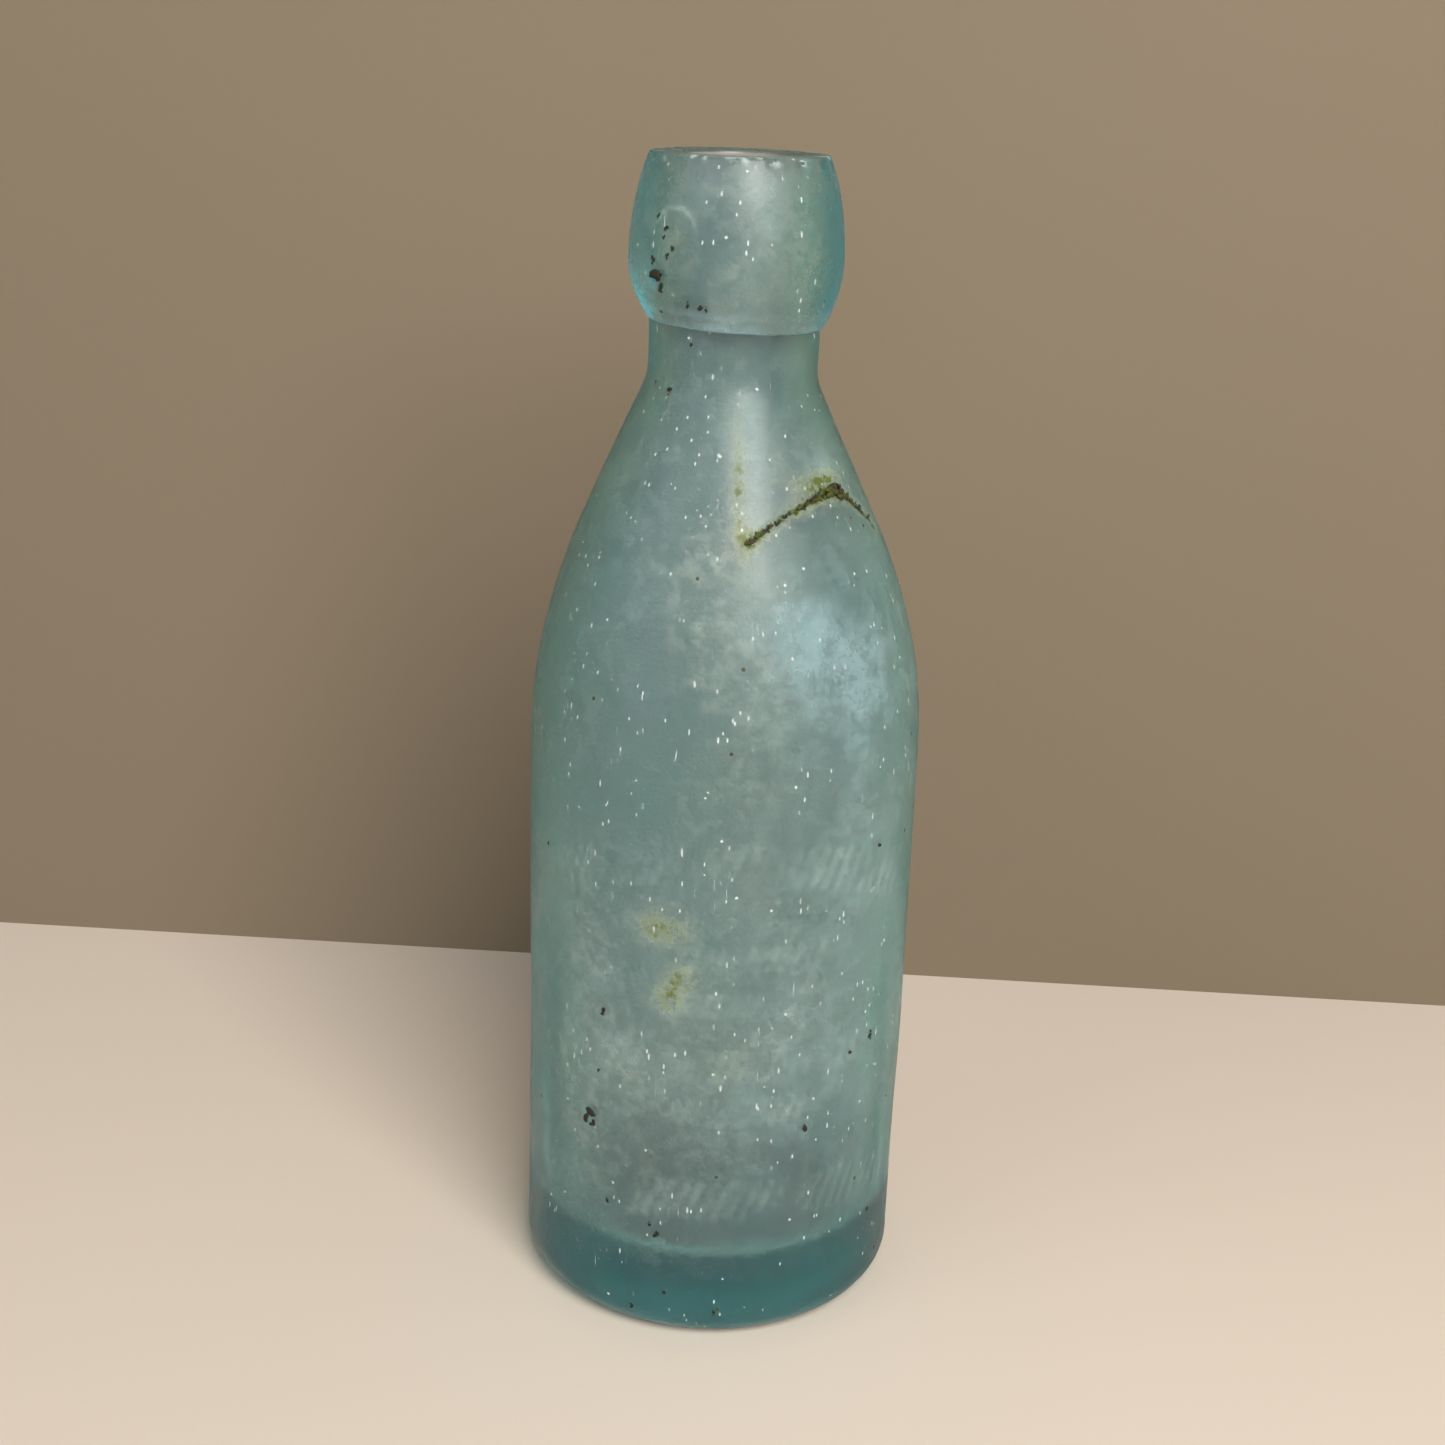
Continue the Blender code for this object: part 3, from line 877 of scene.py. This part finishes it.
def pack_crack(material):
    """Soil crumbs packed along the crack, thickest at its top and thin towards both ends."""
    draw = random.Random(5)
    bm = bmesh.new()
    line = crack_line(150)
    for index, point in enumerate(line):
        share = index / (len(line) - 1)
        thick = 0.32 + 0.42 * exp(-(((share - 0.60) / 0.17) ** 2)) + 0.2 * exp(-((share / 0.08) ** 2))
        thick += 0.14 * exp(-(((share - 0.85) / 0.08) ** 2))
        for crumb in range(2 if 0.3 < share < 0.72 else 1):
            inwards = Vector((-point.x, -point.y, 0)).normalized()
            jitter = Vector([draw.gauss(0, 0.16) for axis in range(3)]) * MM * (1 + 2.2 * (thick > 0.6))
            centre = point + inwards * 0.32 * MM + jitter
            add_lump(bm, centre, thick * MM * draw.uniform(0.6, 1.1), 0.6, index + crumb * 7.7, 1)
    return finish_mesh("packed_soil", bm, [material], sharp=180)


# Dark residue in pits: (angle, height in mm, size in mm)
PITS = (
    (-46.6, 167.2, 1.15), (-48, 169.4, 0.55), (-43, 165.6, 0.6), (-37.8, 170.2, 0.35), (-34.7, 171.2, 0.4),
    (-46, 175.6, 0.3), (-39.2, 174, 0.4), (-41, 172.5, 0.25), (-26.6, 163.2, 0.4), (-19.2, 163, 0.45),
    (-16, 162.8, 0.3), (-28.8, 157.4, 0.35), (-44.1, 150.4, 0.6), (-60, 151, 0.4), (-33.8, 56.6, 0.5),
    (-35, 46, 0.4), (-38, 37.8, 0.95), (-36.6, 36.2, 0.6), (-15.2, 19.2, 0.55), (-17, 21, 0.35),
    (28.5, 38, 0.6), (52.8, 50.3, 0.5), (43.7, 49.1, 0.5), (-31.1, 23.1, 0.4), (67.3, 83, 0.35),
    (51.5, 83.3, 0.45), (-60, 80, 0.35), (-22, 5, 0.45), (-12, 9, 0.35), (3, 6, 0.4), (58, 17, 0.4),
    (58, 132.5, 0.35), (66, 130.8, 0.4), (150, 60, 0.7), (-120, 96, 0.6), (205, 20, 0.6), (120, 30, 0.4),
    (170, 130, 0.5), (-150, 45, 0.5), (100, 110, 0.4),
)


def fill_pits(name, material, wanted):
    draw = random.Random(3)
    bm = bmesh.new()
    for index, (angle, height, size) in enumerate(PITS):
        level = height * MM
        if not wanted(level):
            continue
        centre = place(angle, level, -0.12 * MM)
        for crumb in range(3):
            drift = Vector((draw.gauss(0, 0.35), draw.gauss(0, 0.2), draw.gauss(0, 0.75))) * size * MM
            across = size * MM * (0.8 - 0.2 * crumb)
            add_lump(bm, centre + drift * (crumb > 0), across, 0.4, index * 3.1 + crumb, 2)
    return finish_mesh(name, bm, [material], sharp=180)


# ---- Stage, light and camera ----
def add_plane(name, corners, material):
    bm = bmesh.new()
    bm.faces.new([bm.verts.new(corner) for corner in corners])
    plane = finish_mesh(name, bm, [material])
    return plane


def add_light(name, location, target, size, power, colour):
    lamp = bpy.data.lights.new(name, "AREA")
    lamp.shape = "RECTANGLE"
    lamp.size, lamp.size_y = size
    lamp.energy = power
    lamp.color = colour
    light = bpy.data.objects.new(name, lamp)
    light.location = location
    light.rotation_euler = (Vector(target) - Vector(location)).to_track_quat("-Z", "Y").to_euler()
    bpy.context.scene.collection.objects.link(light)
    return light


def light_room():
    world = bpy.data.worlds.new("soft_room")
    world.use_nodes = True
    background = world.node_tree.nodes["Background"]
    background.inputs["Color"].default_value = (0.96, 0.98, 1.0, 1)
    background.inputs["Strength"].default_value = 0.27
    bpy.context.scene.world = world
    middle = (0, 0, 0.1)
    add_light("ceiling_light", (0.24, -0.67, 0.66), middle, (0.50, 0.50), 9.6, (1.0, 0.97, 0.93))
    add_light("window_fill", (-0.7, -0.6, 0.4), middle, (0.6, 0.8), 1.5, (0.92, 0.97, 1.0))


def set_stage():
    floor_material = make_plain("pale_floor", (0.75, 0.65, 0.55, 1), (0.78, 0.68, 0.58, 1))
    wall_colours = (0.207, 0.163, 0.109, 1), (0.226, 0.178, 0.121, 1)
    wall_material = make_plain("plain_wall", *wall_colours, one_sided=True)
    wide, front, back, high = 3.0, -3.0, 0.109, 3.0
    slope = 0.045
    near_left = (-wide, back + wide * slope, 0)
    near_right = (wide, back - wide * slope, 0)
    add_plane("floor", ((-wide, front, 0), (wide, front, 0), near_right, near_left), floor_material)
    top_right = (near_right[0], near_right[1], high)
    top_left = (near_left[0], near_left[1], high)
    add_plane("backdrop", (near_left, near_right, top_right, top_left), wall_material)


def set_camera():
    """A 50 mm lens a little above the bottle, tipped down and held slightly out of level."""
    lens = bpy.data.cameras.new("camera")
    lens.lens = 50
    lens.sensor_width = 36
    lens.clip_start = 0.01
    camera = bpy.data.objects.new("camera", lens)
    camera.location = (0, -1.66 * RIM, 1.09 * RIM)
    aim = Matrix.Rotation(radians(0.10), 4, "Z") @ Matrix.Rotation(radians(90 - 18.97), 4, "X")
    tilt = Matrix.Rotation(radians(2.14), 4, "Z")
    camera.rotation_euler = (aim @ tilt).to_euler()
    bpy.context.scene.collection.objects.link(camera)
    bpy.context.scene.camera = camera


# ---- The pieces ----
def build_glass():
    outer = make_glass("weathered_glass", (WATER, (0.90, 0.98, 0.97, 1), WATER), (0.30, 0.46), 0.5)
    # The third tint darkens the cavity wall low down and paints shade down both its sides.
    lime = ((1.0, 0.94, 0.82, 1), (0.93, 0.86, 0.73, 1), (0.50, 0.50, 0.46, 1))
    inner = make_glass("cavity_glass", lime, (0.30, 0.5), 0.3)
    inner.node_tree.nodes["Principled BSDF"].inputs["Transmission Weight"].default_value = 0.70
    grey = ((0.84, 0.83, 0.84, 1), (0.80, 0.82, 0.82, 1), WATER)
    lip_outer = make_glass("lip_glass", grey, (0.27, 0.46), 0.5)
    seam = make_seam("fused_seam")

    body = shape_body()
    body_skin = peel_skin(body, is_body_outside)
    assign_surfaces(body)
    body = finish_mesh("blown_body", body, [outer, inner, seam])
    # Each weathering skin holds real bloom, milk, stains and wear, and painted glints, highlights and shade.
    body_skin = finish_mesh("body_weathering_and_painted_light", body_skin, [make_skin("body_skin", 0.6, 1.7)])

    lip = shape_lip()
    lip_skin = peel_skin(lip, is_lip_outside)
    assign_surfaces(lip)
    lip = finish_mesh("blob_lip", lip, [lip_outer, inner, seam])
    lip_skin = finish_mesh("lip_weathering_and_painted_light", lip_skin, [make_skin("lip_skin", 0.85, 1.2)])

    for piece in (body, body_skin):
        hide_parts("bottle_body")
    for piece in (lip, lip_skin):
        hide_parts("applied_lip")
    return [body, body_skin, lip, lip_skin]


def build_soil():
    earth = (0.016, 0.018, 0.006, 1), (0.055, 0.045, 0.018, 1), (0.07, 0.085, 0.012, 1)
    residue = (0.008, 0.008, 0.006, 1), (0.03, 0.022, 0.012, 1), (0.02, 0.024, 0.012, 1)
    crack_soil = make_soil("crack_soil", *earth, 1.6 * MM)
    pit_soil = make_soil("pit_soil", *residue, 0.8 * MM)
    packed = pack_crack(crack_soil)
    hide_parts("crack_soil")
    body_pits = fill_pits("body_pit_soil", pit_soil, lambda height: height < LIP_BOTTOM)
    lip_pits = fill_pits("lip_pit_soil", pit_soil, lambda height: height > LIP_BOTTOM)
    pieces = [packed, body_pits, lip_pits]
    return pieces


bpy.context.scene.view_settings.view_transform = "Standard"
set_stage()
light_room()
set_camera()
for piece in build_glass() + build_soil():
    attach(piece, "root")

bpy.context.view_layer.update()
